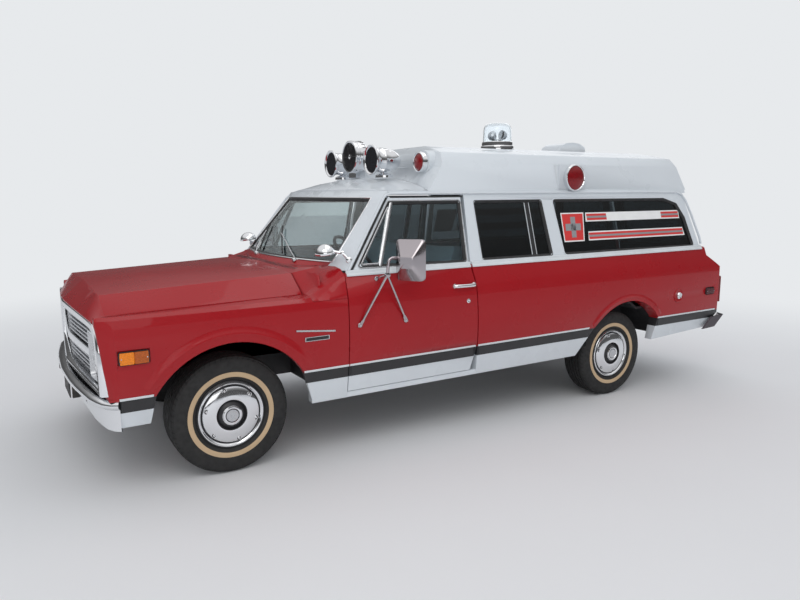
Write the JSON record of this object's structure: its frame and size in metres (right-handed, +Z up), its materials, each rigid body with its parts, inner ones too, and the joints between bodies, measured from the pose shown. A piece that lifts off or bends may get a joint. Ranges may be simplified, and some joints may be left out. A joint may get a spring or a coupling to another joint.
{
  "type": "raised-roof ambulance on a three-door wagon truck",
  "caption": "Red and white ambulance wagon with a raised roof, roof lamps, siren, hinged doors and hood, steered front wheels and rolling tyres.",
  "frame": {"origin": "on the ground under the middle of the vehicle's box", "axes": "+X forward, +Y to the vehicle's left, +Z up"},
  "size_m": [5.4817, 2.4698, 2.2657],
  "materials": {
    "red_paint": "gloss",
    "white_paint": "gloss",
    "black_paint": "satin",
    "chrome": "polished",
    "glass": "clear",
    "tyre": "matt",
    "red_lens": "gloss",
    "amber_lens": "gloss",
    "clear_dome": "clear",
    "blue_cloth": "woven",
    "dark_plastic": "matt",
    "cast_iron": "rough"
  },
  "bodies": {
    "body": {"chassis_frame": "black_paint", "floor_pan": "black_paint", "cowl": "red_paint", "upper_body": "white_paint", "roof_cap": "white_paint", "body_side_left": "red_paint", "body_side_right": "red_paint", "rear_sill": "white_paint", "fender_left": "red_paint", "fender_right": "red_paint", "grille": "chrome", "front_valance": "red_paint", "headlamps": "chrome", "radiator": "black_paint", "front_bumper": "chrome", "rear_bumper": "chrome", "fixed_glass": "glass", "warning_lamps": "chrome", "siren": "chrome", "beacon_dome": "clear_dome", "spot_lamps": "chrome", "marker_lamps": "amber_lens", "tail_lamps": "red_lens", "dashboard": "dark_plastic", "bench_seat": "blue_cloth", "engine_block": "cast_iron", "driveline": "cast_iron", "front_suspension": "black_paint", "rear_axle": "black_paint"},
    "hood": {"hood": "red_paint"},
    "front_door_left": {"front_door_left": "red_paint", "door_glass_left": "glass", "mirror_left": "chrome"},
    "front_door_right": {"front_door_right": "red_paint", "door_glass_right": "glass", "mirror_right": "chrome"},
    "side_door_right": {"side_door_right": "red_paint", "side_door_glass": "glass"},
    "rear_door_left": {"rear_door_left": "red_paint", "rear_glass_left": "glass"},
    "rear_door_right": {"rear_door_right": "red_paint", "rear_glass_right": "glass"},
    "steering_wheel": {"steering_wheel": "dark_plastic"},
    "beacon_rotor": {"beacon_rotor": "chrome"},
    "knuckle_left": {"knuckle_left": "cast_iron"},
    "knuckle_right": {"knuckle_right": "cast_iron"},
    "wheel_front_left": {"wheel_front_left": "chrome", "tyre_front_left": "tyre"},
    "wheel_front_right": {"wheel_front_right": "chrome", "tyre_front_right": "tyre"},
    "wheel_rear_left": {"wheel_rear_left": "chrome", "tyre_rear_left": "tyre"},
    "wheel_rear_right": {"wheel_rear_right": "chrome", "tyre_rear_right": "tyre"}
  },
  "joints": [
    {"name": "front_door_left_hinge", "type": "hinge", "parent": "body", "child": "front_door_left", "pos_m": [1.20892, 1.004, 0.83281], "axis": [-0.0174, 0.0599, -0.9981], "range_deg": [0, 68]},
    {"name": "front_door_right_hinge", "type": "hinge", "parent": "body", "child": "front_door_right", "pos_m": [1.20892, -1.004, 0.83281], "axis": [0.0174, 0.0599, 0.9981], "range_deg": [0, 68]},
    {"name": "side_door_right_hinge", "type": "hinge", "parent": "body", "child": "side_door_right", "pos_m": [0.14709, -1.004, 0.85134], "axis": [0.0174, 0.0599, 0.9981], "range_deg": [0, 68]},
    {"name": "rear_door_left_hinge", "type": "hinge", "parent": "body", "child": "rear_door_left", "pos_m": [-2.68599, 0.955, 0.64275], "axis": [-0.2582, 0.0966, -0.9612], "range_deg": [0, 95]},
    {"name": "rear_door_right_hinge", "type": "hinge", "parent": "body", "child": "rear_door_right", "pos_m": [-2.68599, -0.955, 0.64275], "axis": [0.2582, 0.0966, 0.9612], "range_deg": [0, 95]},
    {"name": "hood_hinge", "type": "hinge", "parent": "body", "child": "hood", "pos_m": [1.45691, 0, 1.17353], "axis": [0, -1, 0], "range_deg": [0, 50]},
    {"name": "steer_left", "type": "hinge", "parent": "body", "child": "knuckle_left", "pos_m": [1.9355, 0.7, 0.352], "axis": [0, 0, 1], "range_deg": [-32, 32]},
    {"name": "steer_right", "type": "hinge", "parent": "body", "child": "knuckle_right", "pos_m": [1.9355, -0.7, 0.352], "axis": [0, 0, 1], "range_deg": [-32, 32]},
    {"name": "steering_wheel_turn", "type": "hinge", "parent": "body", "child": "steering_wheel", "pos_m": [0.84598, 0.38, 1.18319], "axis": [-0.7771, 0, 0.6293], "range_deg": [-515, 515]},
    {"name": "beacon_spin", "type": "hinge", "parent": "body", "child": "beacon_rotor", "pos_m": [-0.74831, 0, 2.09716], "axis": [0.0175, 0, 0.9998], "continuous": true},
    {"name": "spin_front_left", "type": "hinge", "parent": "knuckle_left", "child": "wheel_front_left", "pos_m": [1.9355, 0.805, 0.352], "axis": [0, 1, 0], "continuous": true},
    {"name": "spin_front_right", "type": "hinge", "parent": "knuckle_right", "child": "wheel_front_right", "pos_m": [1.9355, -0.805, 0.352], "axis": [0, 1, 0], "continuous": true},
    {"name": "spin_rear_left", "type": "hinge", "parent": "body", "child": "wheel_rear_left", "pos_m": [-1.2905, 0.8, 0.352], "axis": [0, 1, 0], "continuous": true},
    {"name": "spin_rear_right", "type": "hinge", "parent": "body", "child": "wheel_rear_right", "pos_m": [-1.2905, -0.8, 0.352], "axis": [0, 1, 0], "continuous": true}
  ],
  "couplings": [
    {"joint": "steer_right", "follows": "steer_left", "ratio": 1},
    {"joint": "steering_wheel_turn", "follows": "steer_left", "ratio": 16}
  ]
}
